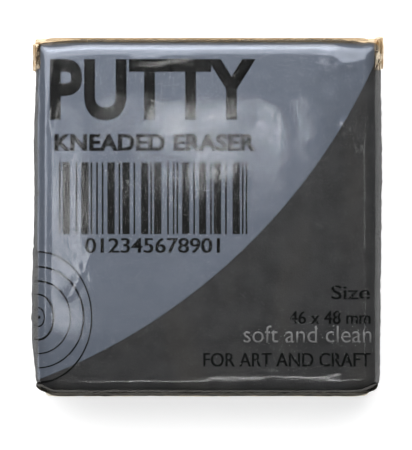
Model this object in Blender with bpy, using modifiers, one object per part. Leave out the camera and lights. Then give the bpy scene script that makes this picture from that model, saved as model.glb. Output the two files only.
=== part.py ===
"""A putty eraser in its film wrapper, lying on its back.

The frame: +X to the label's right, +Y to the label's top, +Z out of the label.
The origin is at the middle of the wrapper's back face. All sizes are in metres.

The putty block sits inside one sheet of film. The sheet wraps round the block
in the XZ plane and laps over itself along the back, which makes the sleeve.
What stands past the block at each end (+Y and -Y) folds shut like an envelope:
two side tucks, then the under flap from the back, then the outer flap from the
front. Each folded panel turns about its crease, so each is an object of its own.
"""

import math

import bmesh
import bpy
from mathutils import Matrix

# Driving dimensions.
WIDTH = 0.0465  # across the bulged sides of the sleeve
LENGTH = 0.0481  # from outer flap to outer flap
THICKNESS = 0.0120  # from the back of the sleeve to its front
FILM = 0.0001  # thickness of the film's solids
GAP = 0.0002  # between pieces that touch on the real object
SIDE_BULGE = 0.0006  # how far soft putty pushes the middle of a side wall out
BULGE_STEPS = 8  # along the sleeve
SLEEVE_CORNER_RADIUS = 0.0014  # of its four long corners, at mid-film
CORNER_STEPS = 4
WALL_STEPS = 6
LAP_WIDTH = 0.0080  # film over film along the back
JOGGLE_LENGTH = 0.0012  # where the under layer steps up to pass below the lap
JOGGLE_STEPS = 4
BLOCK_CORNER_RADIUS = 0.0013
BLOCK_RIM_RADIUS = 0.0010
OUTER_FLAP_REACH = 0.0075  # from its crease to its free edge
UNDER_FLAP_REACH = 0.0065
TUCK_REACH = 0.0045
CREASE_SETBACK = 0.0003  # between a crease and the sleeve wall beside it
TUCK_MITRE_SETBACK = 0.0002  # keeps the tucks clear of both flaps as they turn

# Worked out from those.
PITCH = FILM + GAP  # from one layer of film to the next
SLEEVE_HALF_WIDTH = WIDTH / 2 - FILM / 2 - SIDE_BULGE  # mid-film, at the corners
OUTER_FLAP_Y = LENGTH / 2 - FILM / 2
UNDER_FLAP_Y = OUTER_FLAP_Y - PITCH
TUCK_Y = UNDER_FLAP_Y - PITCH
BLOCK_HALF_LENGTH = TUCK_Y - FILM / 2 - GAP
SLEEVE_HALF_LENGTH = OUTER_FLAP_Y - FILM / 2 - GAP
BACK_Z = FILM / 2
LAPPED_Z = BACK_Z + PITCH
FRONT_Z = THICKNESS - FILM / 2
BLOCK_BOTTOM = LAPPED_Z + FILM / 2 + GAP
BLOCK_TOP = FRONT_Z - FILM / 2 - GAP
BLOCK_HALF_WIDTH = SLEEVE_HALF_WIDTH - FILM / 2 - GAP
OUTER_CREASE_Z = FRONT_Z - CREASE_SETBACK
UNDER_CREASE_Z = LAPPED_Z + FILM / 2 + CREASE_SETBACK
FLAP_HALF_WIDTH = SLEEVE_HALF_WIDTH - CREASE_SETBACK

PUTTY_COLOUR = (0.085, 0.083, 0.080, 1.0)
PRINTED_COLOUR = (0.26, 0.30, 0.36, 1.0)
CLEAR_COLOUR = (0.55, 0.52, 0.46, 1.0)


def clear_scene():
    for obj in list(bpy.data.objects):
        bpy.data.objects.remove(obj, do_unlink=True)


def new_collection(name):
    collection = bpy.data.collections.new(name)
    bpy.context.scene.collection.children.link(collection)
    return collection


def new_material(name, colour, roughness):
    material = bpy.data.materials.new(name)
    material.use_nodes = True
    shader = material.node_tree.nodes["Principled BSDF"]
    shader.inputs["Base Color"].default_value = colour
    shader.inputs["Roughness"].default_value = roughness
    return material


def add_object(name, data, collection, material):
    obj = bpy.data.objects.new(name, data)
    collection.objects.link(obj)
    obj.data.materials.append(material)
    return obj


def add_empty(name, collection, turn):
    """An empty at the origin, turned about the vertical axis."""
    empty = bpy.data.objects.new(name, None)
    empty.rotation_euler = (0, 0, turn)
    collection.objects.link(empty)
    return empty


def mesh_from(bm, name):
    mesh = bpy.data.meshes.new(name)
    bm.to_mesh(mesh)
    bm.free()
    mesh.shade_smooth()
    mesh.set_sharp_from_angle(angle=math.radians(40))
    return mesh


def arc(centre, radius, start, end):
    """Points of a corner in the XZ plane. Angles in degrees from +X towards +Z."""
    points = []
    for i in range(CORNER_STEPS + 1):
        angle = math.radians(start + (end - start) * i / CORNER_STEPS)
        x = centre[0] + radius * math.cos(angle)
        z = centre[1] + radius * math.sin(angle)
        points.append((x, z))
    return points


def right_side(half_width, bottom, top, radius):
    """The lower right corner, the side wall and the upper right corner."""
    inner, low, high = half_width - radius, bottom + radius, top - radius
    wall = []
    for i in range(1, WALL_STEPS):
        wall.append((half_width, low + (high - low) * i / WALL_STEPS))
    lower = arc((inner, low), radius, -90, 0)
    upper = arc((inner, high), radius, 0, 90)
    return lower + wall + upper


def mirrored(points):
    """The same points on the left-hand side."""
    return [(-x, z) for x, z in points]


def sleeve_path():
    """The film's line round the block, from the end under the lap to the end over it."""
    lap = LAP_WIDTH / 2
    under_lap = [(lap, LAPPED_Z)]
    for i in range(JOGGLE_STEPS + 1):
        share = i / JOGGLE_STEPS
        drop = (1 - math.cos(math.pi * share)) / 2
        x = -lap - GAP - JOGGLE_LENGTH * share
        under_lap.append((x, LAPPED_Z - PITCH * drop))
    right = right_side(SLEEVE_HALF_WIDTH, BACK_Z, FRONT_Z, SLEEVE_CORNER_RADIUS)
    over_lap = [(-lap, BACK_Z)]
    return under_lap + mirrored(right) + right[::-1] + over_lap


def draw_out(bm, drawn, half_length):
    """Moves what an extrusion drew from one end to the other and cuts it into steps."""
    moved = [item for item in drawn if isinstance(item, bmesh.types.BMVert)]
    bmesh.ops.translate(bm, verts=moved, vec=(0, 2 * half_length, 0))
    long_edges = [e for e in bm.edges if abs(e.verts[0].co.y - e.verts[1].co.y) > GAP]
    bmesh.ops.subdivide_edges(bm, edges=long_edges, cuts=BULGE_STEPS - 1, use_grid_fill=True)


def pillow(bm, half_width, half_length, bottom, top):
    """Pushes the side walls out, most at the middle and not at all at their borders."""
    for vert in bm.verts:
        if half_width - abs(vert.co.x) < 1e-6:
            up = math.sin(math.pi * (vert.co.z - bottom) / (top - bottom))
            along = 1 - (vert.co.y / half_length) ** 4
            vert.co.x += math.copysign(SIDE_BULGE * up * along, vert.co.x)


def make_sleeve(collection, material):
    """The path drawn out along Y as one open surface, with Solidify for its thickness."""
    bm = bmesh.new()
    line = [bm.verts.new((x, -SLEEVE_HALF_LENGTH, z)) for x, z in sleeve_path()]
    edges = [bm.edges.new(pair) for pair in zip(line, line[1:])]
    drawn = bmesh.ops.extrude_edge_only(bm, edges=edges)["geom"]
    draw_out(bm, drawn, SLEEVE_HALF_LENGTH)
    low, high = BACK_Z + SLEEVE_CORNER_RADIUS, FRONT_Z - SLEEVE_CORNER_RADIUS
    pillow(bm, SLEEVE_HALF_WIDTH, SLEEVE_HALF_LENGTH, low, high)
    sleeve = add_object("film_sleeve", mesh_from(bm, "film_sleeve"), collection, material)
    solidify = sleeve.modifiers.new("film thickness", "SOLIDIFY")
    solidify.thickness = FILM
    solidify.offset = 0.0
    solidify.use_even_offset = True
    return sleeve


def make_block(collection, material):
    """The putty: a rounded outline drawn out along Y, with its end rims rounded."""
    right = right_side(BLOCK_HALF_WIDTH, BLOCK_BOTTOM, BLOCK_TOP, BLOCK_CORNER_RADIUS)
    bm = bmesh.new()
    outline = right + mirrored(right)[::-1]
    end = bm.faces.new([bm.verts.new((x, -BLOCK_HALF_LENGTH, z)) for x, z in outline])
    drawn = bmesh.ops.extrude_face_region(bm, geom=[end])["geom"]
    draw_out(bm, drawn, BLOCK_HALF_LENGTH)
    low, high = BLOCK_BOTTOM + BLOCK_CORNER_RADIUS, BLOCK_TOP - BLOCK_CORNER_RADIUS
    pillow(bm, BLOCK_HALF_WIDTH, BLOCK_HALF_LENGTH, low, high)
    bmesh.ops.recalc_face_normals(bm, faces=bm.faces)
    block = add_object("eraser_block", mesh_from(bm, "eraser_block"), collection, material)
    bevel = block.modifiers.new("rounded rims", "BEVEL")
    bevel.width = BLOCK_RIM_RADIUS
    bevel.segments = 3
    bevel.limit_method = "ANGLE"
    bevel.angle_limit = math.radians(60)
    return block


def trapezium(half_width, reach):
    """A panel's outline: full width at the crease, with sides mitred at 45 degrees."""
    free = half_width - reach
    return [(-half_width, 0), (half_width, 0), (free, reach), (-free, reach)]


def make_panel(name, outline, place, along, inward, parent, material):
    """A flat panel of film with its origin on its crease.

    The outline's own X axis runs along the crease and its Y axis inward from it.
    """
    curve = bpy.data.curves.new(name, "CURVE")
    curve.dimensions = "2D"
    curve.fill_mode = "BOTH"
    curve.extrude = FILM / 2
    spline = curve.splines.new("POLY")
    spline.points.add(len(outline) - 1)
    for point, (x, y) in zip(spline.points, outline):
        point.co = (x, y, 0, 1)
    spline.use_cyclic_u = True
    panel = add_object(name, curve, parent.users_collection[0], material)
    panel.parent = parent
    panel.location = place
    turn = Matrix((along, inward, along.cross(inward))).transposed()
    panel.rotation_euler = turn.to_euler()
    return panel


def make_end(end, turn, tuck_names, collection, material):
    """One folded end, made at +Y and turned with its empty to where it belongs."""
    x_axis, _, z_axis = Matrix.Identity(3)
    empty = add_empty(end + "_end", collection, turn)
    place = (0, OUTER_FLAP_Y, OUTER_CREASE_Z)
    outline = trapezium(FLAP_HALF_WIDTH, OUTER_FLAP_REACH)
    make_panel(end + "_outer_flap", outline, place, x_axis, -z_axis, empty, material)
    place = (0, UNDER_FLAP_Y, UNDER_CREASE_Z)
    outline = trapezium(FLAP_HALF_WIDTH, UNDER_FLAP_REACH)
    make_panel(end + "_under_flap", outline, place, x_axis, z_axis, empty, material)
    middle = (OUTER_CREASE_Z + UNDER_CREASE_Z) / 2
    half_height = (OUTER_CREASE_Z - UNDER_CREASE_Z) / 2 - TUCK_MITRE_SETBACK
    outline = trapezium(half_height, TUCK_REACH)
    for side, name in zip((1, -1), tuck_names):
        place = (side * FLAP_HALF_WIDTH, TUCK_Y, middle)
        make_panel(name, outline, place, z_axis, -side * x_axis, empty, material)


def main():
    clear_scene()
    pieces = new_collection("wrapped_putty_eraser")
    putty = new_material("putty", PUTTY_COLOUR, 0.85)
    printed_film = new_material("printed_film", PRINTED_COLOUR, 0.12)
    clear_film = new_material("clear_film", CLEAR_COLOUR, 0.10)
    make_block(pieces, putty)
    make_sleeve(pieces, printed_film)
    make_end("top", 0.0, ("top_right_tuck", "top_left_tuck"), pieces, clear_film)
    bottom_tucks = ("bottom_left_tuck", "bottom_right_tuck")
    make_end("bottom", math.pi, bottom_tucks, pieces, clear_film)


main()
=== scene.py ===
# %% [markdown]
# # A putty eraser in its film wrapper
# A block of soft putty is wrapped in one sheet of clear printed film. The CAD model gives
# every part its size and place. Here each part gets the shape and finish that an eye sees:
# a soft slab, a glossy film that creases, ink under the film, and folded ends.

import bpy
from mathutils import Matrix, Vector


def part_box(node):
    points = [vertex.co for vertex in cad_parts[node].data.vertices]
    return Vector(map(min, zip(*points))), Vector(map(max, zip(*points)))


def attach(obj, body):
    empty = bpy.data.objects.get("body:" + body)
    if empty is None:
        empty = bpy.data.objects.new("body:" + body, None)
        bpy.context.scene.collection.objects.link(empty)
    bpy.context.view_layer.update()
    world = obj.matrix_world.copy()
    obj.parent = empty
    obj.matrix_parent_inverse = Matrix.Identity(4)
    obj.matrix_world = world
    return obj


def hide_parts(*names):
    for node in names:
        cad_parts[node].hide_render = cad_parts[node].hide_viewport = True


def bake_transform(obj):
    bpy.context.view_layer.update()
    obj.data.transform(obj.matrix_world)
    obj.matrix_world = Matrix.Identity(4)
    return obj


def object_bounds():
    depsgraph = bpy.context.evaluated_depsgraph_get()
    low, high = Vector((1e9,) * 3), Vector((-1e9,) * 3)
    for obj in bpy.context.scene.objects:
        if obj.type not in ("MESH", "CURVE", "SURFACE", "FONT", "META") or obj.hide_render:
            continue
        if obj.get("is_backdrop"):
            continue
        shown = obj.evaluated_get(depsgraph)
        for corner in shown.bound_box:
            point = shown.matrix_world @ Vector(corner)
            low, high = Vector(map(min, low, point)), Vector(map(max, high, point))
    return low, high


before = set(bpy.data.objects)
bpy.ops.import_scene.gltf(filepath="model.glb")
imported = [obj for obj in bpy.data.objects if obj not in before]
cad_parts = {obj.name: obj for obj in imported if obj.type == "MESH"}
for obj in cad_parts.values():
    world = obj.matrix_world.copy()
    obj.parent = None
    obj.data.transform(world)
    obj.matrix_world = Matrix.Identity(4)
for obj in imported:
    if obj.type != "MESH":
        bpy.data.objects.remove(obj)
cad_box = [list(corner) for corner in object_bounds()]

# %% The modules and the unit
import math
import random

import bmesh
import bpy
from mathutils import Matrix, Vector

MM = 0.001
print("frame nodes:", sorted(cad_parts))

# %% [markdown]
# ## Helpers for modelling by hand
# Every operator works on what is selected, so each step first deselects all and then picks
# its own object, and in edit mode its own vertices, edges or faces by where they are. The
# same could be typed out at each piece. Short helpers keep the steps of each piece in view.

# %% Select one object
def only(obj):
    """Makes obj the one selected and active object."""
    bpy.ops.object.select_all(action="DESELECT")
    obj.select_set(True)
    bpy.context.view_layer.objects.active = obj
    return obj


def edit(obj, kind="VERT"):
    """Opens obj in edit mode with nothing selected."""
    only(obj)
    bpy.ops.object.mode_set(mode="EDIT")
    bpy.ops.mesh.select_mode(type=kind)
    bpy.ops.mesh.select_all(action="DESELECT")


def done():
    """Closes edit mode."""
    bpy.ops.object.mode_set(mode="OBJECT")


def pick(obj, kind, test):
    """In edit mode, selects just the vertices, edges or faces for which test is true."""
    bpy.ops.mesh.select_all(action="DESELECT")
    bm = bmesh.from_edit_mesh(obj.data)
    for item in {"VERT": bm.verts, "EDGE": bm.edges, "FACE": bm.faces}[kind]:
        if test(item):
            item.select_set(True)
    bm.select_flush_mode()
    bmesh.update_edit_mesh(obj.data)


def runs_along(axis):
    """A test for edges that run along an axis, 0 for X, 1 for Y and 2 for Z."""
    def test(edge):
        step = edge.verts[1].co - edge.verts[0].co
        return abs(step[axis]) > 0.999 * step.length
    return test


# %% Finish a piece
def modify(obj, kind, **settings):
    """Adds a modifier and applies it."""
    only(obj)
    modifier = obj.modifiers.new(kind.lower(), kind)
    for name, value in settings.items():
        setattr(modifier, name, value)
    bpy.ops.object.modifier_apply(modifier=modifier.name)
    return obj


def settle(obj):
    """Puts the object's place, turn and size into its mesh."""
    only(obj)
    bpy.ops.object.transform_apply(location=True, rotation=True, scale=True)
    return obj


def copy_of(obj, name):
    """A copy with its own mesh."""
    twin = obj.copy()
    twin.data = obj.data.copy()
    twin.name = twin.data.name = name
    bpy.context.scene.collection.objects.link(twin)
    return twin


def smooth(obj, degrees=40):
    """Shades smooth, but keeps edges sharper than an angle."""
    only(obj)
    bpy.ops.object.shade_smooth_by_angle(angle=math.radians(degrees))
    return obj


def facing_out(obj):
    """Turns every face outwards."""
    edit(obj)
    bpy.ops.mesh.select_all(action="SELECT")
    bpy.ops.mesh.normals_make_consistent(inside=False)
    done()
    return obj


def report(obj):
    """Prints a piece's faces and where it lies, in mm."""
    low, high = Vector(obj.bound_box[0]) / MM, Vector(obj.bound_box[6]) / MM
    spans = ", ".join(f"{a:.2f} to {b:.2f}" for a, b in zip(low, high))
    print(f"{obj.name}: {len(obj.data.polygons)} faces, mm {spans}")


def add_block(name, low, high):
    """A cube drawn out to two corners, in metres."""
    low, high = Vector(low), Vector(high)
    bpy.ops.object.select_all(action="DESELECT")
    bpy.ops.mesh.primitive_cube_add(size=1, location=(low + high) / 2)
    obj = bpy.context.object
    obj.name = obj.data.name = name
    obj.scale = high - low
    return settle(obj)


def roughen(obj, name, size_mm, depth_mm, detail=2, **settings):
    """Pushes a surface in and out by a cloud pattern with lumps of about that size."""
    clouds = bpy.data.textures.new(name, "CLOUDS")
    clouds.noise_scale = size_mm * MM
    clouds.noise_depth = detail
    return modify(obj, "DISPLACE", texture=clouds, strength=depth_mm * MM, mid_level=0.5,
                  texture_coords="LOCAL", **settings)


def pull(x, y, z, reach):
    """In edit mode, moves what is selected by a step in mm; what is within reach follows."""
    bpy.ops.transform.translate(
        value=(x * MM, y * MM, z * MM), use_proportional_edit=True,
        proportional_edit_falloff="SMOOTH", proportional_size=reach * MM)


# %% [markdown]
# ## The slab form
# Film pulled tight over putty takes one soft form: flat in the middle, rolled over at the
# rims, with sides and ends that bulge a little. A bevelled box gives the rolled rims, cuts
# along each axis give it enough points, and a lattice pushes the whole form about gently.
# The putty, the film and the ink are all cut from it, so they always fit each other.

# %% Measures from the frame
sleeve_low, sleeve_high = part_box("film_sleeve")
tuck_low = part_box("top_left_tuck")[0]
BLOCK = "wrapped_block"  # the body that the putty and the film round it move with
FRONT = sleeve_high.z - 0.03 * MM
BACK = sleeve_low.z + 0.10 * MM  # leaves room for the lap seam
HALF_WIDTH = sleeve_high.x - 0.45 * MM  # the sides bulge out past this
HALF_LENGTH = tuck_low.y - 0.10 * MM  # clear of the folded ends
RIM = 1.7 * MM
print(f"front {FRONT / MM:.2f}, half width {HALF_WIDTH / MM:.2f}, "
      f"half length {HALF_LENGTH / MM:.2f}")

# %% A bevelled box with a fine grid
SLAB_CUTS = (95, 99, 19)  # across X, Y and Z, for cells of about half a millimetre

slab = add_block("slab", (-HALF_WIDTH, -HALF_LENGTH, BACK), (HALF_WIDTH, HALF_LENGTH, FRONT))
edit(slab, "EDGE")
bpy.ops.mesh.select_all(action="SELECT")
bpy.ops.mesh.bevel(offset=RIM, segments=7, profile=0.5, affect="EDGES")
for axis, cuts in enumerate(SLAB_CUTS):
    long_edge = runs_along(axis)
    pick(slab, "EDGE", lambda e: long_edge(e) and e.calc_length() > 3 * MM)
    bpy.ops.mesh.subdivide(number_cuts=cuts)
done()
report(slab)

# %% A lattice that pillows it
# Pushes outwards in mm: the sides from the bottom up, and the ends from the back up
LEFT_PUSH = (0.10, 0.70, 0.80, 0.68, 0.50, 0.50, 0.50, 0.25, -0.10)
RIGHT_PUSH = [0.78 - 0.06 * abs(v - 5) for v in range(9)]
SIDE_SHARE = (0, 0.75, 1, 0.75, 0)  # of that push, from the back up
END_PUSH = (0.0, 0.0, 0.20, 0.55, 0.55)
BORDER_DROP, SECOND_DROP = 0.26, 0.04  # how far the face falls off near its border, mm

bpy.ops.object.select_all(action="DESELECT")
bpy.ops.object.add(type="LATTICE", location=(0, 0, (FRONT + BACK) / 2))
cage = bpy.context.object
cage.scale = (2 * HALF_WIDTH, 2 * HALF_LENGTH, FRONT - BACK)
cage.data.points_u, cage.data.points_v, cage.data.points_w = 9, 9, 5
for direction in "uvw":
    setattr(cage.data, "interpolation_type_" + direction, "KEY_CARDINAL")
for index, point in enumerate(cage.data.points):
    u, v, w = index % 9, index // 9 % 9, index // 81
    if u in (0, 8):
        push = (LEFT_PUSH if u == 0 else RIGHT_PUSH)[v] * SIDE_SHARE[w]
        point.co_deform.x += math.copysign(push * MM / cage.scale.x, u - 4)
    elif v in (0, 8):
        point.co_deform.y += math.copysign(END_PUSH[w] * MM / cage.scale.y, v - 4)
    if w == 4:
        border = (u in (0, 8)) + (v in (0, 8))
        second = (u in (1, 7)) + (v in (1, 7))
        drop = BORDER_DROP * border + SECOND_DROP * second
        point.co_deform.z -= drop * MM / cage.scale.z
modify(slab, "LATTICE", object=cage)
bpy.data.objects.remove(cage)
report(slab)

# %% Sides and ends are lumpy where the film clings to the putty
LUMP_SIZE, LUMP_DEPTH = 0.8, 0.42  # mm

edit(slab, "VERT")
pick(slab, "VERT", lambda v: abs(v.normal.z) < 0.55)
bpy.ops.object.vertex_group_assign_new()
done()
roughen(slab, "clinging_lumps", LUMP_SIZE, LUMP_DEPTH, vertex_group=slab.vertex_groups[0].name)
slab.vertex_groups.clear()
report(slab)

# %% The two top corners are drawn out sharper than the bottom ones
def at_top_corner(way):
    """A test for the front vertices of one top corner, -1 for the left and 1 for the right."""
    return lambda v: (way * v.co.x > HALF_WIDTH - 0.9 * MM and v.co.z > FRONT - 2.5 * MM
                      and v.co.y > HALF_LENGTH - 0.6 * MM)


for way in (-1, 1):
    edit(slab, "VERT")
    pick(slab, "VERT", at_top_corner(way))
    pull(way * 0.40, 0.22, 0.12, reach=1.3)
    done()
report(slab)

# %% [markdown]
# ## The putty
# Putty is pressed into a block, so its skin is never quite even. It could be sculpted from
# a ball, but then it wouldn't fill its film. So the block is the slab form drawn in by the
# thickness of a film and a little air, then pushed about by two cloud patterns: slow lumps,
# and the fine crumb of the putty itself.

# %% The putty block
FILM_AND_AIR = 0.16  # mm

putty = copy_of(slab, "putty_block")
modify(putty, "DISPLACE", strength=-FILM_AND_AIR * MM, mid_level=0.0)
edit(putty)
bpy.ops.mesh.select_all(action="SELECT")
bpy.ops.transform.resize(value=(1.004, 1.003, 1))
done()
for name, size, depth in (("putty_lumps", 4.0, 0.08), ("putty_crumb", 0.9, 0.05)):
    roughen(putty, name, size, depth)
smooth(putty)
report(putty)

# %% [markdown]
# ## The film
# The film is modelled first as a bare surface, the film form, because the ink has to lie
# exactly along it. The form is the slab with both ends open. A cloth simulation could
# wrinkle it, but where each crease falls would be left to chance. So slow waves make the
# broad reflections wander, and each crease is pulled up one by one with proportional editing.

# %% The film form, open at both ends
form = copy_of(slab, "film_form")
bpy.data.objects.remove(slab)
edit(form, "FACE")
end_limit = HALF_LENGTH - 0.2 * MM
pick(form, "FACE", lambda f: abs(f.normal.y) > 0.9 and abs(f.calc_center_median().y) > end_limit
     and BACK + RIM < f.calc_center_median().z < FRONT - RIM
     and abs(f.calc_center_median().x) < HALF_WIDTH - RIM)
bpy.ops.mesh.delete(type="FACE")
done()
for name, size, depth in (("film_waves", 9.0, 0.07), ("film_ripples", 2.6, 0.014)):
    roughen(form, name, size, depth)
report(form)

# %% Creases, in millimetres: from, to, how high and how wide
CREASES = (
    ((15.8, 21.7), (18.4, 20.3), 0.10, 1.1),
    ((18.4, 20.3), (21.0, 20.8), 0.08, 0.9),
    ((15.4, 17.7), (15.9, 17.4), -0.05, 1.8),
    ((18.3, 13.1), (19.8, 8.9), 0.09, 0.8),
    ((21.6, 17.5), (21.8, 12.5), 0.05, 0.7),
    ((20.6, -4.6), (21.3, -8.6), 0.10, 0.8),
    ((21.8, -8.5), (21.9, -12.0), 0.07, 0.6),
    ((0.5, -20.9), (9.0, -21.1), 0.05, 1.0),
    ((9.0, -21.1), (18.0, -20.7), 0.06, 1.0),
    ((-18.4, -10.6), (-15.3, -4.8), 0.025, 0.8),
    ((-19.6, -3.2), (-16.4, -8.0), -0.02, 0.8),
    ((-20.6, 21.4), (-21.6, 12.0), 0.05, 1.2),
    ((-9.0, 21.0), (-2.0, 21.6), 0.05, 1.2),
)


def near_line(start, end, reach):
    """A test for front vertices within reach of a line across the face."""
    start, end = Vector(start) * MM, Vector(end) * MM
    along = end - start

    def test(vert):
        if vert.co.z < FRONT - 1.2 * MM:
            return False
        place = vert.co.xy - start
        share = min(max(place.dot(along) / along.length_squared, 0), 1)
        return (place - along * share).length < reach * MM
    return test


for start, end, height, width in CREASES:
    edit(form)
    pick(form, "VERT", near_line(start, end, 0.25))
    pull(0, 0, height, reach=width)
    done()
print(len(CREASES), "creases")

# %% The film itself
FILM_THICKNESS = 0.04  # mm

film = copy_of(form, "film_wrapper")
modify(film, "SOLIDIFY", thickness=FILM_THICKNESS * MM, offset=0)
smooth(film)
report(film)

# %% [markdown]
# ## The ink
# The film is printed on its inner side, so the gloss lies over the ink. The ink could be a
# pattern in the film's material, but as thin pieces under the film it has crisp edges and
# real depth. The pale field is cut from the film form itself: a copy is drawn in under the
# film, given a thickness, and cut by a plane at the left and by a great cylinder, whose arc
# crosses the face.

# %% The pale field and its arc
ARC_CENTRE = (-51.3, 53.9)  # mm
ARC_RADIUS = 80.9
FIELD_LEFT = -22.6
INK_DEPTH = 0.045  # under the middle of the film
FIELD_DEPTH = INK_DEPTH + 0.02  # the pale field lies under the black ink
TINY = 0.0005  # mm, for points that the cuts leave on top of each other


def cut_away(obj, place, normal):
    """Cuts a closed piece with a plane, keeps the side behind the normal and closes the cut."""
    edit(obj)
    bpy.ops.mesh.select_all(action="SELECT")
    bpy.ops.mesh.bisect(plane_co=place, plane_no=normal, use_fill=True, clear_outer=True)
    done()


field = copy_of(form, "pale_field")
edit(field, "FACE")
pick(field, "FACE", lambda f: f.normal.z < 0.12 or f.calc_center_median().z < FRONT - 2.2 * MM)
bpy.ops.mesh.delete(type="FACE")
done()
modify(field, "DISPLACE", strength=-FIELD_DEPTH * MM, mid_level=0.0)
modify(field, "SOLIDIFY", thickness=0.01 * MM, offset=-1)
cut_away(field, (FIELD_LEFT * MM, 0, 0), (-1, 0, 0))
bpy.ops.mesh.primitive_cylinder_add(
    vertices=360, radius=ARC_RADIUS * MM, depth=40 * MM,
    location=(ARC_CENTRE[0] * MM, ARC_CENTRE[1] * MM, FRONT))
drum = bpy.context.object
modify(field, "BOOLEAN", operation="INTERSECT", solver="EXACT", object=drum)
bpy.data.objects.remove(drum)
edit(field)
bpy.ops.mesh.select_all(action="SELECT")
bpy.ops.mesh.remove_doubles(threshold=TINY * MM)
bpy.ops.mesh.dissolve_degenerate(threshold=TINY * MM)
done()
field.data.validate()
smooth(field)
report(field)

# %% [markdown]
# Everything else in ink is drawn flat above the face, cut into small cells so that it can
# bend, and dropped onto the film form with Shrinkwrap. The words are plain generic ones and
# the bars follow a simple rule, so they name and encode nothing.

# %% Drop flat shapes onto the film
def cut_into_cells(obj, pitch=0.8):
    """Bisects a flat shape along a square grid, in millimetres."""
    edit(obj)
    corners = [Vector(c) for c in obj.bound_box]
    for axis in (0, 1):
        low, high = min(c[axis] for c in corners), max(c[axis] for c in corners)
        normal = [0, 0, 0]
        normal[axis] = 1
        for step in range(1, math.ceil((high - low) / (pitch * MM))):
            place = [0, 0, 0]
            place[axis] = low + step * pitch * MM
            bpy.ops.mesh.select_all(action="SELECT")
            bpy.ops.mesh.bisect(plane_co=place, plane_no=normal)
    done()


def lay_under_film(obj, pitch=0.8):
    """Projects a flat shape down onto the film form, under its surface, as a thin skin.

    What misses the form is left in the air above it, and is deleted.
    """
    cut_into_cells(obj, pitch)
    modify(obj, "SHRINKWRAP", target=form, wrap_method="PROJECT", use_project_z=True,
           use_negative_direction=True, use_positive_direction=False,
           wrap_mode="ABOVE_SURFACE", offset=-INK_DEPTH * MM)
    edit(obj, "VERT")
    pick(obj, "VERT", lambda v: v.co.z > FRONT + 1 * MM)
    bpy.ops.mesh.delete(type="VERT")
    done()
    modify(obj, "SOLIDIFY", thickness=0.006 * MM, offset=-1)
    report(obj)
    return obj


def join(objs, name):
    """Joins pieces into the first of them."""
    bpy.ops.object.select_all(action="DESELECT")
    for obj in objs:
        obj.select_set(True)
    bpy.context.view_layer.objects.active = objs[0]
    bpy.ops.object.join()
    objs[0].name = objs[0].data.name = name
    return objs[0]


# %% Lettering
ABOVE = FRONT + 3 * MM


def add_words(name, words, left, right, base, height, weight, gap, bold):
    """A line of words drawn to fit between left and right, with its foot on base, in mm.

    Weight thickens the strokes, gap is the room between letters, and bold is a second
    strike of the same letters, moved along by that much.
    """
    bpy.ops.object.select_all(action="DESELECT")
    bpy.ops.object.text_add()
    obj = bpy.context.object
    obj.name = name
    obj.data.body = words
    obj.data.offset = weight
    obj.data.space_character = gap
    bpy.ops.object.convert(target="MESH")
    obj = bpy.context.object
    obj.name = obj.data.name = name
    low, high = Vector(obj.bound_box[0]), Vector(obj.bound_box[6])
    wide = right - left - bold
    obj.scale = (wide * MM / (high.x - low.x), height * MM / (high.y - low.y), 1)
    obj.location = (left * MM - low.x * obj.scale.x, base * MM - low.y * obj.scale.y, ABOVE)
    settle(obj)
    if bold:
        again = copy_of(obj, name + "_again")
        again.location.x = bold * MM
        obj = join([obj, settle(again)], name)
    return obj


# %% The words on the pale field and on the dark side
LINES = (
    # name, words, left, right, foot and height in mm, then weight, gap and bold
    ("big_word", "PUTTY", -21.0, 6.5, 12.9, 8.2, 0.035, 1.06, 0.0),
    ("small_words", "KNEADED ERASER", -20.4, 6.5, 8.8, 2.3, 0.026, 1.04, 0.13),
    ("bar_digits", "012345678901", -16.3, 1.75, -4.8, 2.0, 0.004, 1.0, 0.12),
    ("size_word", "Size", 16.6, 21.8, -11.0, 1.85, 0.0, 1.0, 0.10),
    ("size_digits", "46 x 48 mm", 11.0, 21.9, -14.3, 1.75, 0.0, 1.0, 0.10),
    ("pale_words", "soft and clean", 4.9, 22.0, -16.8, 2.3, -0.004, 1.0, 0.0),
    ("foot_words", "FOR ART AND CRAFT", -0.5, 21.9, -20.0, 1.85, 0.0, 1.0, 0.10),
)
lines = [lay_under_film(add_words(*line)) for line in LINES]

# %% A field of bars
BARS_LEFT, BARS_RIGHT, BARS_FOOT, BARS_TOP = -19.8, 5.4, -2.3, 7.3
MODULES = 101
MODULE = (BARS_RIGHT - BARS_LEFT) / MODULES


def bar_modules(number):
    """How many modules wide a bar is, by a rule that stands for no number."""
    return 1 + (number * number + 2 * number) % 4 if number % 5 else 1


def space_modules(number):
    """How many modules of space follow a bar."""
    return 1 + (3 * number) % 4 // 2 + (number % 3 == 1)


bars, at, number = [], 0, 0
while at < MODULES:
    wide = min(bar_modules(number), MODULES - at)
    bpy.ops.object.select_all(action="DESELECT")
    bpy.ops.mesh.primitive_plane_add(size=1)
    bar = bpy.context.object
    bar.scale = (wide * MODULE * MM, (BARS_TOP - BARS_FOOT) * MM, 1)
    middle = BARS_LEFT + (at + wide / 2) * MODULE
    bar.location = (middle * MM, (BARS_TOP + BARS_FOOT) / 2 * MM, ABOVE)
    bars.append(settle(bar))
    at += wide + space_modules(number)
    number += 1
bars = lay_under_film(join(bars, "bars"))
print(number, "bars")

# %% Rings like a ripple, each a little off centre
RING_CENTRE = (-22.6, -13.4)
RING_DOT = 0.22
RINGS_LEFT = -HALF_WIDTH - 0.55 * MM  # where the rings run off the edge
RINGS = (
    # half width, half height, line, shift of the hole in x and y, all in mm
    (0.95, 1.35, 0.20, 0.02, 0.02),
    (2.25, 3.15, 0.24, -0.04, 0.03),
    (4.45, 4.95, 0.22, 0.03, -0.04),
    (6.25, 6.85, 0.20, -0.04, -0.03),
    (7.30, 8.85, 0.24, 0.04, 0.02),
)


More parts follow.
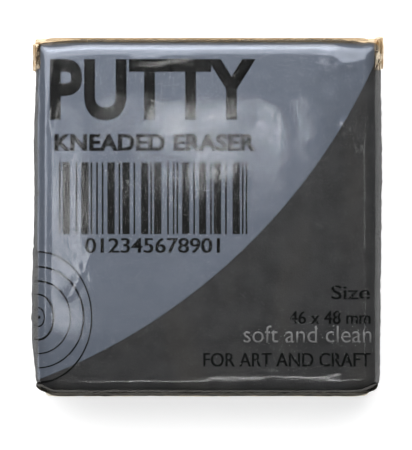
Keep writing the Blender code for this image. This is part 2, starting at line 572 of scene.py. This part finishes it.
def add_ring(half_width, half_height, line, shift_x, shift_y):
    """A flat ring: a circle of edges, extruded and drawn out to its outer outline."""
    bpy.ops.object.select_all(action="DESELECT")
    bpy.ops.mesh.primitive_circle_add(vertices=128, radius=1)
    ring = bpy.context.object
    inner_x, inner_y = half_width - line, half_height - line
    ring.scale = (inner_x * MM, inner_y * MM, 1)
    ring.location = (shift_x * MM, shift_y * MM, 0)
    settle(ring)
    edit(ring)
    bpy.ops.mesh.select_all(action="SELECT")
    bpy.ops.mesh.extrude_edges_move()
    bpy.ops.transform.translate(value=(-shift_x * MM, -shift_y * MM, 0))
    bpy.ops.transform.resize(
        value=(half_width / inner_x, half_height / inner_y, 1), center_override=(0, 0, 0))
    done()
    ring.location = (RING_CENTRE[0] * MM, RING_CENTRE[1] * MM, ABOVE)
    return settle(ring)


rings = [add_ring(*sizes) for sizes in RINGS]
bpy.ops.object.select_all(action="DESELECT")
bpy.ops.mesh.primitive_circle_add(
    vertices=24, radius=RING_DOT * MM, fill_type="NGON",
    location=(RING_CENTRE[0] * MM + 0.1 * MM, RING_CENTRE[1] * MM, ABOVE))
rings.append(settle(bpy.context.object))
rings = join(rings, "rings")
edit(rings)
bpy.ops.mesh.select_all(action="SELECT")
bpy.ops.mesh.bisect(plane_co=(RINGS_LEFT, 0, 0), plane_no=(-1, 0, 0), clear_outer=True)
done()
lay_under_film(rings, pitch=0.4)

# %% [markdown]
# ## The folded ends
# At each end four panels of film fold over each other, like the end of a parcel. One sheet
# folded by a simulation would be truer, but it could not be opened joint by joint. So each
# panel is a plane drawn to the size of its CAD panel, mitred by narrowing its free edge, and
# carried over the rim by extruding its crease edge towards the sleeve. The strip over the
# rim is where the film bends when an end opens; the panels are given no body.

# %% One folded panel
PANEL_THICKNESS = 0.035  # mm


def add_panel(name, crease, inward, out, half, reach, mitre, strip):
    """A film panel in three directions: along its crease, inward across the end, and out.

    crease is the middle of its crease line and strip the steps from there to the sleeve,
    as (inward, out, grow) in mm from the crease line.
    """
    inward, out = Vector(inward), Vector(out)
    along = inward.cross(out)
    bpy.ops.object.select_all(action="DESELECT")
    bpy.ops.mesh.primitive_plane_add(size=2)
    panel = bpy.context.object
    panel.name = panel.data.name = name
    panel.scale = (half, reach / 2, 1)
    panel.location = (0, reach / 2, 0)
    settle(panel)
    edit(panel, "EDGE")
    pick(panel, "EDGE", lambda e: min(v.co.y for v in e.verts) > 0.9 * reach)
    bpy.ops.transform.resize(
        value=((half - mitre) / half, 1, 1), center_override=(0, reach, 0))
    pick(panel, "EDGE", lambda e: max(v.co.y for v in e.verts) < 0.1 * reach)
    at_in, at_out, wide = 0.0, 0.0, half
    for step_in, step_out, grow in strip:
        bpy.ops.mesh.extrude_edges_move()
        bpy.ops.transform.translate(value=(0, step_in * MM - at_in, step_out * MM - at_out))
        bpy.ops.transform.resize(
            value=((wide + grow * MM) / wide, 1, 1),
            center_override=(0, step_in * MM, step_out * MM))
        at_in, at_out, wide = step_in * MM, step_out * MM, wide + grow * MM
    cross = runs_along(0)
    pick(panel, "EDGE", cross)
    bpy.ops.mesh.subdivide(number_cuts=max(3, round(half / (0.35 * MM))))
    pick(panel, "EDGE", lambda e: not cross(e) and e.calc_length() > 2 * MM)
    bpy.ops.mesh.subdivide(number_cuts=max(3, round(reach / (0.5 * MM))))
    done()
    for kind, size, depth in (("_waves", 3.5, 0.10), ("_bumps", 0.8, 0.12)):
        roughen(panel, name + kind, size, depth)
    modify(panel, "SOLIDIFY", thickness=PANEL_THICKNESS * MM, offset=0)
    panel.matrix_world = Matrix((along, inward, out)).transposed().to_4x4()
    panel.location = crease
    settle(panel)
    return smooth(facing_out(panel))


# %% All eight panels
# The strip from each crease to the sleeve: steps inward, outward and wider, in mm
OUTER_STRIP = ((-0.45, -0.06, 0.5), (-0.85, -0.24, 0.35), (-1.12, -0.52, 0.15))
UNDER_STRIP = ((-0.35, -0.10, 0.3), (-0.50, -0.35, 0.1), (-0.55, -0.75, 0.0))
TUCK_STRIP = ((-0.35, -0.16, 0.3), (-0.50, -0.40, 0.1))
# How far a panel's crease lies from the edge of its CAD panel, past the curve of the rim
OUTER_SETBACK, UNDER_SETBACK = 1.1 * MM, 0.6 * MM

panels = []
for end, sign in (("top", 1), ("bottom", -1)):
    out = Vector((0, sign, 0))
    low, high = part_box(end + "_outer_flap")
    face = sign * max(abs(low.y), abs(high.y)) - sign * 0.05 * MM
    reach = high.z - low.z - OUTER_SETBACK
    outer = add_panel(
        end + "_outer_film", (0, face, high.z - OUTER_SETBACK), (0, 0, -1), out,
        high.x - 1.7 * MM, reach, reach, OUTER_STRIP)
    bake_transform(outer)
    low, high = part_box(end + "_under_flap")
    face = (low.y + high.y) / 2
    reach = high.z - low.z - UNDER_SETBACK
    under = add_panel(
        end + "_under_film", (0, face, low.z + UNDER_SETBACK), (0, 0, 1), out,
        high.x - 0.6 * MM, reach, reach, UNDER_STRIP)
    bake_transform(under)
    panels += [outer, under]
    for side, way in (("left", -1), ("right", 1)):
        low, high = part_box(f"{end}_{side}_tuck")
        face = (low.y + high.y) / 2
        crease = way * max(abs(low.x), abs(high.x))
        start_x = crease - way * UNDER_SETBACK
        reach = high.x - low.x - UNDER_SETBACK
        tuck = add_panel(
            f"{end}_{side}_film", (start_x, face, (low.z + high.z) / 2), (-way, 0, 0), out,
            (high.z - low.z) / 2 - 0.7 * MM, reach, reach, TUCK_STRIP)
        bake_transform(tuck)
        panels.append(tuck)
for panel in panels:
    report(panel)

# %% [markdown]
# ## Hems
# Where the sleeve ends the film is doubled, and the double edge stands out past the rim of
# the putty as a narrow lip: amber at the top, dark at the bottom. It stays on the block when
# the end is opened. Each lip is a bar with rounded corners, cut finely along its length and
# displaced, because heat sealing leaves that edge slightly crinkled.

# %% A lip of doubled film at each end
HEMS = {  # the side it is on, and in mm its depth, inset, corner and the turn of its ends
    "top": (1, 0.72, 0.30, 0.25, 0.15),
    "bottom": (-1, 0.98, 0.40, 0.60, 0.85),
}
hems = []
for end, (sign, depth, inset, corner, turn) in HEMS.items():
    low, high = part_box(end + "_outer_flap")
    face = sign * max(abs(low.y), abs(high.y))
    near, far = sorted((face - sign * depth * MM, face - sign * 0.12 * MM))
    reach = sleeve_high.x - inset * MM
    hem = add_block(end + "_hem", (-reach, near, high.z - 1.55 * MM),
                    (reach, far, high.z - 0.45 * MM))
    edit(hem, "EDGE")
    upright = runs_along(2)
    pick(hem, "EDGE", lambda e: upright(e) and all(abs(v.co.y - face) < 0.5 * MM for v in e.verts))
    bpy.ops.mesh.bevel(offset=corner * MM, segments=4, affect="EDGES")
    bpy.ops.mesh.select_all(action="SELECT")
    bpy.ops.mesh.bevel(offset=0.08 * MM, segments=1, affect="EDGES")
    along = runs_along(0)
    pick(hem, "EDGE", lambda e: along(e) and e.calc_length() > 3 * MM)
    bpy.ops.mesh.subdivide(number_cuts=130)
    for way in (-1, 1):
        pick(hem, "VERT", lambda v: way * v.co.x > reach - 0.1 * MM)
        pull(0, -sign * turn, 0, reach=2.6)
    done()
    for kind, size, depth in (("_waves", 2.5, 0.16), ("_bumps", 0.7, 0.16)):
        roughen(hem, end + "_hem" + kind, size, depth)
    smooth(hem, 60)
    report(hem)
    hems.append(hem)

# %% [markdown]
# ## The small film parts
# On the back the sheet laps over itself, which shows as one strip with a sealed edge. At
# the two top corners a dog ear of film stands out past the side, crumpled and stiff.

# %% The lap on the back
LAP_HALF = 4 * MM
lap_end = HALF_LENGTH - 1.6 * MM
lap = add_block("lap_seam", (-LAP_HALF, -lap_end, 0.015 * MM), (LAP_HALF, lap_end, 0.05 * MM))
edit(lap, "EDGE")
for axis, cuts in ((0, 15), (1, 80)):
    pick(lap, "EDGE", runs_along(axis))
    bpy.ops.mesh.subdivide(number_cuts=cuts)
done()
smooth(lap)
report(lap)

# %% Dog ears of film at the top corners
EAR_CUTS = 6
EAR_SWAY = 0.25  # mm, how far a step may stray to either side
random.seed(4)


def add_ear(name, path, width):
    """A crumpled ribbon of film: an edge extruded step by step along a path, in mm."""
    bpy.ops.object.select_all(action="DESELECT")
    bpy.ops.mesh.primitive_plane_add(size=1)
    ear = bpy.context.object
    ear.name = ear.data.name = name
    edit(ear, "VERT")
    pick(ear, "VERT", lambda v: v.co.x > 0)
    bpy.ops.mesh.delete(type="VERT")
    done()
    for vert, y in zip(ear.data.vertices, width):
        vert.co = Vector((path[0][0], y, path[0][1])) * MM
    edit(ear, "EDGE")
    bpy.ops.mesh.select_all(action="SELECT")
    for (x0, z0), (x1, z1) in zip(path, path[1:]):
        bpy.ops.mesh.extrude_edges_move()
        bpy.ops.transform.translate(
            value=((x1 - x0) * MM, random.uniform(-EAR_SWAY, EAR_SWAY) * MM, (z1 - z0) * MM))
    bpy.ops.mesh.select_all(action="SELECT")
    bpy.ops.mesh.subdivide(number_cuts=EAR_CUTS)
    done()
    roughen(ear, name + "_crumple", 0.8, 0.45, detail=3)
    modify(ear, "SOLIDIFY", thickness=0.05 * MM, offset=0)
    smooth(facing_out(ear), 60)
    report(ear)
    return ear


EARS = (
    # name, the path in x and z, and its width in y, all in mm
    ("left_ear", ((-22.3, 11.2), (-22.9, 11.2), (-23.3, 10.6), (-23.1, 9.4), (-22.9, 8.0),
                  (-22.6, 6.5)), (19.9, 23.4)),
    ("right_ear", ((22.4, 11.2), (23.1, 11.3), (23.6, 10.7), (23.3, 9.4), (23.0, 8.0),
                   (22.7, 6.5)), (19.7, 23.9)),
)
ears = [add_ear(*line) for line in EARS]

# %% [markdown]
# ## Materials
# Shader maths reads best as arithmetic, so one small class wraps a socket and turns
# Python's operators into Math nodes, and one method makes any other node.

# %% Sockets that add up
class Value:
    """A socket that can be used in sums."""

    def __init__(self, graph, socket):
        self.graph, self.socket = graph, socket

    def maths(self, operation, *values):
        inputs = dict(enumerate(values))
        return self.graph.node("ShaderNodeMath", {"operation": operation}, inputs)

    def __add__(self, other):
        return self.maths("ADD", self, other)

    def __radd__(self, other):
        return self.maths("ADD", other, self)

    def __sub__(self, other):
        return self.maths("SUBTRACT", self, other)

    def __rsub__(self, other):
        return self.maths("SUBTRACT", other, self)

    def __mul__(self, other):
        return self.maths("MULTIPLY", self, other)

    def __rmul__(self, other):
        return self.maths("MULTIPLY", other, self)

    def at_most(self, limit):
        """The value, held under a limit."""
        return self.maths("MINIMUM", self, limit)

    def above(self, low, high):
        """0 below low, 1 above high and a soft step between."""
        return self.graph.node(
            "ShaderNodeMapRange", {"interpolation_type": "SMOOTHSTEP"},
            {"Value": self, "From Min": low, "From Max": high})


class Graph:
    """A new material and its nodes."""

    def __init__(self, name):
        self.material = bpy.data.materials.new(name)
        self.material.use_nodes = True
        self.nodes = self.material.node_tree.nodes
        self.nodes.clear()
        self.place = self.node("ShaderNodeTexCoord", out="Object")

    def node(self, kind, settings=None, inputs=None, out=0):
        """Any node: its settings first, then its sockets, and the wanted output."""
        node = self.nodes.new(kind)
        for name, value in (settings or {}).items():
            setattr(node, name, value)
        for name, value in (inputs or {}).items():
            if isinstance(value, Value):
                self.material.node_tree.links.new(value.socket, node.inputs[name])
            else:
                node.inputs[name].default_value = value
        return Value(self, node.outputs[out])

    def noise(self, size_mm, detail=2.0, roughness=0.5, stretch=(1, 1, 1)):
        """A noise with lumps of about that size, from 0 to 1."""
        place = self.node("ShaderNodeMapping", {}, {"Vector": self.place, "Scale": stretch})
        return self.node("ShaderNodeTexNoise", {}, {
            "Vector": place, "Scale": 1 / (size_mm * MM), "Detail": detail, "Roughness": roughness})

    def blend(self, share, first, second):
        """One colour mixed into another."""
        return self.node(
            "ShaderNodeMix", {"data_type": "RGBA"}, {0: share, 6: first, 7: second}, 2)

    def bump(self, height, depth_mm):
        """A normal that follows a height."""
        return self.node("ShaderNodeBump", {}, {
            "Height": height, "Distance": depth_mm * MM, "Strength": 1.0})

    def surface(self, inputs):
        """The Principled shader."""
        return self.node("ShaderNodeBsdfPrincipled", {}, inputs)

    def finish(self, shader):
        """Links the shader to the output and gives the material."""
        output = self.nodes.new("ShaderNodeOutputMaterial")
        self.material.node_tree.links.new(shader.socket, output.inputs["Surface"])
        return self.material


def grey(value, red=1.0, blue=1.0):
    """A grey, warmer or cooler by its shares of red and blue."""
    return (value * red, value, value * blue, 1.0)


# %% [markdown]
# ### Putty
# Kneaded putty is matt and dark, with paler smears from the kneading and a fine crumb. One
# flat grey would look like plastic. So two slow noises mottle the colour, one of them drawn
# out along the folds, and a fine noise roughens it in both gloss and bump.

# %% Putty
def putty_finish():
    g = Graph("kneaded_putty")
    mottle = g.noise(3.0, 3.0)
    crumb = g.noise(0.25, 3.0, 0.6)
    folds = g.noise(6.0, 2.0, 0.5, (1, 0.35, 1))
    colour = g.blend(mottle.above(0.30, 0.70), grey(0.018, 0.99, 1.03), grey(0.031, 0.99, 1.03))
    colour = g.blend(folds.above(0.45, 0.75) * 0.4, colour, grey(0.045, 1.10, 0.85))
    return g.finish(g.surface({
        "Base Color": colour, "Roughness": 0.72 + 0.2 * crumb,
        "Normal": g.bump(crumb + 2.0 * mottle, 0.04)}))


# %% [markdown]
# ### Clear film
# Wrapping film lets almost all light through and mirrors a small share of the room. Glass
# with refraction would darken a skin this thin and needs many bounces. So light passes
# straight through, and a smooth mirror is mixed in by Fresnel's share, with a limit, so
# that the dark ink under the film stays dark.

# %% Clear film
def film_finish(name, tint, body, grain=0.011, haze=0.0, side=0.03, face=0.07, shine=1.0):
    """Glossy clear film: clear, with a mirror's share that grows towards grazing angles.

    The share is held to a limit, lower on the sides, where the film clings to the putty.
    """
    g = Graph(name)
    grains = g.noise(0.28, 2.0, 0.65)
    streaks = g.noise(1.1, 2.0, 0.5, (1, 0.10, 1))
    patches = g.noise(7.0, 2.0)
    dimples = g.noise(0.24, 1.0).above(0.60, 0.70)
    normal = g.bump(0.35 * grains + 0.5 * streaks - 0.9 * dimples, grain)
    gloss = g.surface({
        "Base Color": tint, "Metallic": 1.0, "Roughness": 0.085 + 0.04 * patches.above(0.40, 0.65),
        "Normal": normal})
    clear = g.node("ShaderNodeBsdfTransparent", {}, {"Color": body})
    fresnel = g.node("ShaderNodeFresnel", {}, {"IOR": 1.49, "Normal": normal})
    facing = g.node("ShaderNodeTexCoord", out="Normal")
    up = g.node("ShaderNodeSeparateXYZ", {}, {"Vector": facing}, "Z")
    limit = side + (face - side) * up.maths("ABSOLUTE", up).above(0.70, 0.96)
    share = (shine * fresnel + haze * g.noise(1.2, 4.0).above(0.35, 0.75)).at_most(limit)
    return g.finish(g.node("ShaderNodeMixShader", {}, {"Fac": share, 1: clear, 2: gloss}))


# %% [markdown]
# ### Ink
# Printing ink lies on the film in a thin even coat. The black is all but matt, and the pale
# field has a little silver in it, so it brightens towards the lamps. Both take their small
# unevenness from one noise and a few dark specks.

# %% Ink
def ink_finish(name, colour, other, rough=0.45, metal=0.0):
    """Ink with the faint mottle of what lies under it; the pale one is a little silvery."""
    g = Graph(name)
    mottle = g.noise(1.6, 4.0, 0.6)
    specks = g.noise(0.16, 1.0).above(0.70, 0.78)
    tone = g.blend(mottle.above(0.35, 0.65), colour, other)
    tone = g.blend(specks * 0.35, tone, grey(0.03))
    return g.finish(g.surface({
        "Base Color": tone, "Roughness": rough, "Metallic": metal, "Specular IOR Level": 0.05}))


# %% [markdown]
# ### The finishes of this eraser
# One sheet of film looks different where it is stretched, folded, doubled or crumpled. So
# the same recipe is used five times, each time with its own tint, haze and limits.

# %% Every finish
putty_look = putty_finish()
wrapper_look = film_finish("wrapper_film", grey(0.95), grey(0.99), shine=0.6)
fold_look = film_finish(
    "fold_film", (0.95, 0.94, 0.91, 1), (0.82, 0.79, 0.73, 1), haze=0.04, face=0.2)
top_hem_look = film_finish(
    "top_hem_film", (0.95, 0.90, 0.80, 1), (0.80, 0.71, 0.59, 1), haze=0.05)
low_hem_look = film_finish(
    "low_hem_film", (0.80, 0.78, 0.74, 1), (0.16, 0.15, 0.13, 1), haze=0.01)
ear_look = film_finish(
    "ear_film", (0.95, 0.88, 0.76, 1), (0.80, 0.72, 0.60, 1), haze=0.25, side=0.4, face=0.4)
field_ink = ink_finish(
    "pale_ink", (0.150, 0.172, 0.216, 1), (0.162, 0.184, 0.229, 1), rough=0.20, metal=0.42)
black_ink = ink_finish("black_ink", grey(0.003), grey(0.005))
light_ink = ink_finish("light_ink", grey(0.19), grey(0.22))
print("finishes:", ", ".join(material.name for material in bpy.data.materials))

# %% Each piece gets its finish and, all but the end panels, its body; the CAD parts they replace are hidden
def dress(obj, look, body=None):
    """Gives a piece its one finish, its slot and, if one is named, its body."""
    obj.data.materials.clear()
    obj.data.materials.append(look)
    if body:
        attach(obj, body)


bpy.data.objects.remove(form)
dress(putty, putty_look, BLOCK)
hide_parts("eraser_block")
dress(film, wrapper_look, BLOCK)
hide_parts("film_sleeve")
dress(field, field_ink, BLOCK)
dress(lap, fold_look, BLOCK)
for piece in [*lines, bars, rings]:
    dress(piece, light_ink if piece.name == "pale_words" else black_ink, BLOCK)
for hem, look in zip(hems, (top_hem_look, low_hem_look)):
    dress(hem, look, BLOCK)
for ear in ears:
    dress(ear, ear_look, BLOCK)
for panel in panels:
    dress(panel, fold_look)
    end, part = panel.name.split("_")[:2]
    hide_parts(f"{end}_{part}_" + ("flap" if part in ("outer", "under") else "tuck"))
print("dressed:", 5 + len(lines) + len(hems) + len(ears) + len(panels), "pieces")

# %% [markdown]
# ## Floor, light and camera
# The film mirrors what is above it, so one big lamp would veil the print. The light is
# shaped like a small studio instead: a dim room, a soft key panel that the film doesn't
# mirror, a soft panel beyond the top that the rolled rims pick up, dim strips at the left,
# right and bottom for the outer slopes, and one small lamp beside the camera that glints in
# the flat of the film. The floor glows a little, so that it stays plain and pale.

# %% The floor
FLOOR_SIZE, FLOOR_GAP = 6, 0.02 * MM

bpy.ops.object.select_all(action="DESELECT")
bpy.ops.mesh.primitive_plane_add(size=FLOOR_SIZE, location=(0, 0, -FLOOR_GAP))
floor = bpy.context.object
floor.name = "floor"
g = Graph("pale_floor")
floor.data.materials.append(g.finish(g.surface({
    "Base Color": grey(0.72), "Roughness": 0.9,
    "Emission Color": grey(1.0), "Emission Strength": 0.70})))
floor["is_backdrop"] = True
print("floor:", FLOOR_SIZE, "m")

# %% Lights
LAMPS = (
    # name, place and size in metres, power in watts, and the point it faces, or straight down
    ("key_panel", (-0.15, 0.60, 0.765), (1.6, 1.22), 7.0, (0, 0, 0)),
    ("top_panel", (-0.15, 0.445, 0.873), (1.6, 0.66), 8.4, (0, 0, 0)),
    ("edge_lamp", (-0.008, 0.062, 0.050), (0.07, 0.036), 0.024, (0, 0.01, 0.012)),
    ("left_strip", (-0.082, -0.006, 0.612), (0.034, 0.060), 0.036, None),
    ("right_strip", (0.150, -0.020, 0.600), (0.020, 0.120), 0.020, None),
    ("low_strip", (0.020, -0.150, 0.600), (0.160, 0.020), 0.120, None),
    ("near_lamp", (-0.0005, 0.028, 0.612), (0.028, 0.013), 0.021, None),
)


def add_lamp(name, place, size, power, aim):
    """A rectangular lamp that the camera doesn't see."""
    lamp = bpy.data.lights.new(name, "AREA")
    lamp.shape, lamp.energy = "RECTANGLE", power
    lamp.size, lamp.size_y = size
    obj = bpy.data.objects.new(name, lamp)
    bpy.context.scene.collection.objects.link(obj)
    obj.location = place
    if aim:
        obj.rotation_euler = (Vector(aim) - Vector(place)).to_track_quat("-Z", "Y").to_euler()
    obj.visible_camera = False
    return obj


lamps = {line[0]: add_lamp(*line) for line in LAMPS}
lamps["key_panel"].visible_glossy = False
print("lamps:", ", ".join(lamps))

# %% A dim room
ROOM_COLOUR, ROOM_STRENGTH = (0.92, 0.96, 1.0, 1), 0.06
world = bpy.data.worlds.new("studio")
bpy.context.scene.world = world
world.use_nodes = True
room = world.node_tree.nodes["Background"]
room.inputs["Color"].default_value = ROOM_COLOUR
room.inputs["Strength"].default_value = ROOM_STRENGTH
print("room strength:", ROOM_STRENGTH)

# %% The camera looks straight down
CAMERA_HEIGHT = 0.60
VIEW_HEIGHT = 60.1 * MM
camera_data = bpy.data.cameras.new("camera")
camera = bpy.data.objects.new("camera", camera_data)
bpy.context.scene.collection.objects.link(camera)
camera.location = (-0.13 * MM, -1.07 * MM, FRONT + CAMERA_HEIGHT)  # a touch off centre
camera_data.sensor_width = 36
camera_data.lens = 36 * CAMERA_HEIGHT / VIEW_HEIGHT
camera_data.clip_start, camera_data.clip_end = 0.01, 20
bpy.context.scene.camera = camera
bpy.context.scene.cycles.transparent_max_bounces = 24
bpy.context.scene.view_settings.view_transform = "Standard"
print(f"lens: {camera_data.lens:.0f} mm")

# %% Keep the sizes
visual_box = [list(corner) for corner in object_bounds()]
for name, (low, high) in (("cad", cad_box), ("visual", visual_box)):
    print(name, [round(v / MM, 2) for v in low], [round(v / MM, 2) for v in high])
